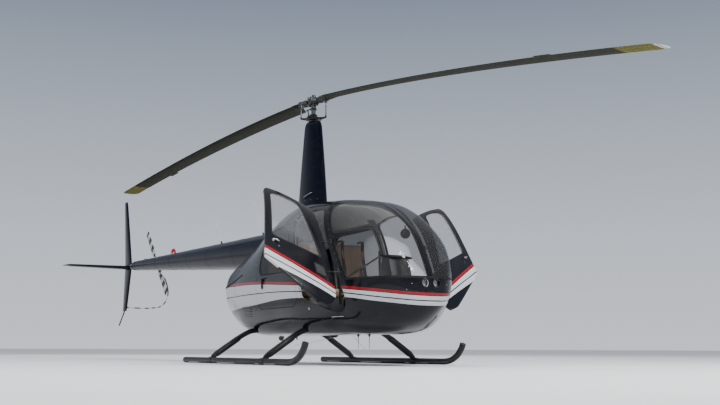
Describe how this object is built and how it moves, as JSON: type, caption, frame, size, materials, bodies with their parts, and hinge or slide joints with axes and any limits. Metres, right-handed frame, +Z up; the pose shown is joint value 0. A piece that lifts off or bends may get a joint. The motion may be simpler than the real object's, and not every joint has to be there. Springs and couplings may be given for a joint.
{
  "type": "light helicopter on skids",
  "caption": "Light cabin helicopter on skids with a two-blade teetering main rotor, slim tail boom with fin, stabilizer and tail rotor, hinged doors with the front pair open.",
  "frame": {"origin": "bottom centre of the whole bounding box, on the ground under the skids", "axes": "+Z up; nose toward -Y; port side toward +X"},
  "size_m": [2.8052, 11.9638, 3.29],
  "materials": {
    "black": "gloss",
    "navy": "gloss",
    "glass": "smoked clear",
    "dark": "satin",
    "metal": "satin",
    "tan": "soft",
    "grey": "matt",
    "blade": "satin",
    "red": "gloss",
    "lamp": "clear"
  },
  "bodies": {
    "airframe": {"cabin_frame": "black", "lower_shell": "black", "windshield_starboard": "glass", "windshield_port": "glass", "windshield_strip": "black", "engine_cowl": "black", "firewall": "grey", "engine_block": "dark", "mast_fairing": "navy", "tail_boom": "navy", "vertical_fin": "navy", "boom_tip": "navy", "tail_gearbox": "dark", "stabilizer": "navy", "tail_skid": "black", "tail_rotor_guard": "black", "antenna_front": "lamp", "antenna_rear": "lamp", "beacon": "red", "skid_starboard": "black", "skid_port": "black", "cross_tube_front": "black", "cross_tube_rear": "black", "landing_lamp_starboard": "lamp", "landing_lamp_port": "lamp", "cabin_floor": "grey", "front_seat_starboard": "grey", "front_cushion_starboard": "tan", "front_backrest_starboard": "tan", "front_seat_port": "grey", "front_cushion_port": "tan", "front_backrest_port": "tan", "rear_bench": "grey", "rear_cushion": "tan", "rear_backrest": "tan", "instrument_console": "dark", "cyclic_stick": "dark"},
    "main_rotor": {"rotor_mast": "metal", "swashplate": "metal", "rotor_hub": "dark", "pitch_link_a": "metal", "pitch_link_b": "metal", "main_blade_a": "blade", "main_blade_b": "blade"},
    "tail_rotor": {"tail_rotor_hub": "metal", "tail_blade_a": "black", "tail_blade_b": "black"},
    "front_door_starboard": {"door_front_starboard": "black", "door_window_front_starboard": "glass"},
    "front_door_port": {"door_front_port": "black", "door_window_front_port": "glass"},
    "rear_door_starboard": {"door_rear_starboard": "black", "door_window_rear_starboard": "glass"},
    "rear_door_port": {"door_rear_port": "black", "door_window_rear_port": "glass"}
  },
  "joints": [
    {"name": "main_rotor_spin", "type": "hinge", "parent": "airframe", "child": "main_rotor", "pos_m": [0.0085, -0.97577, 3.205], "axis": [0, 0, 1], "continuous": true},
    {"name": "tail_rotor_spin", "type": "hinge", "parent": "airframe", "child": "tail_rotor", "pos_m": [0.2705, 4.91622, 1.635], "axis": [1, 0, 0], "continuous": true},
    {"name": "front_door_starboard_hinge", "type": "hinge", "parent": "airframe", "child": "front_door_starboard", "pos_m": [-0.605, -2.48327, 1.265], "axis": [0.0146, 0.465, 0.8852], "range_deg": [-85, 5]},
    {"name": "front_door_port_hinge", "type": "hinge", "parent": "airframe", "child": "front_door_port", "pos_m": [0.622, -2.48327, 1.265], "axis": [0.0146, -0.465, -0.8852], "range_deg": [-76, 14]},
    {"name": "rear_door_starboard_hinge", "type": "hinge", "parent": "airframe", "child": "rear_door_starboard", "pos_m": [-0.6535, -1.64577, 1.225], "axis": [0, 0.2806, 0.9598], "range_deg": [0, 75]},
    {"name": "rear_door_port_hinge", "type": "hinge", "parent": "airframe", "child": "rear_door_port", "pos_m": [0.6705, -1.64577, 1.225], "axis": [0, -0.2806, -0.9598], "range_deg": [0, 75]}
  ]
}
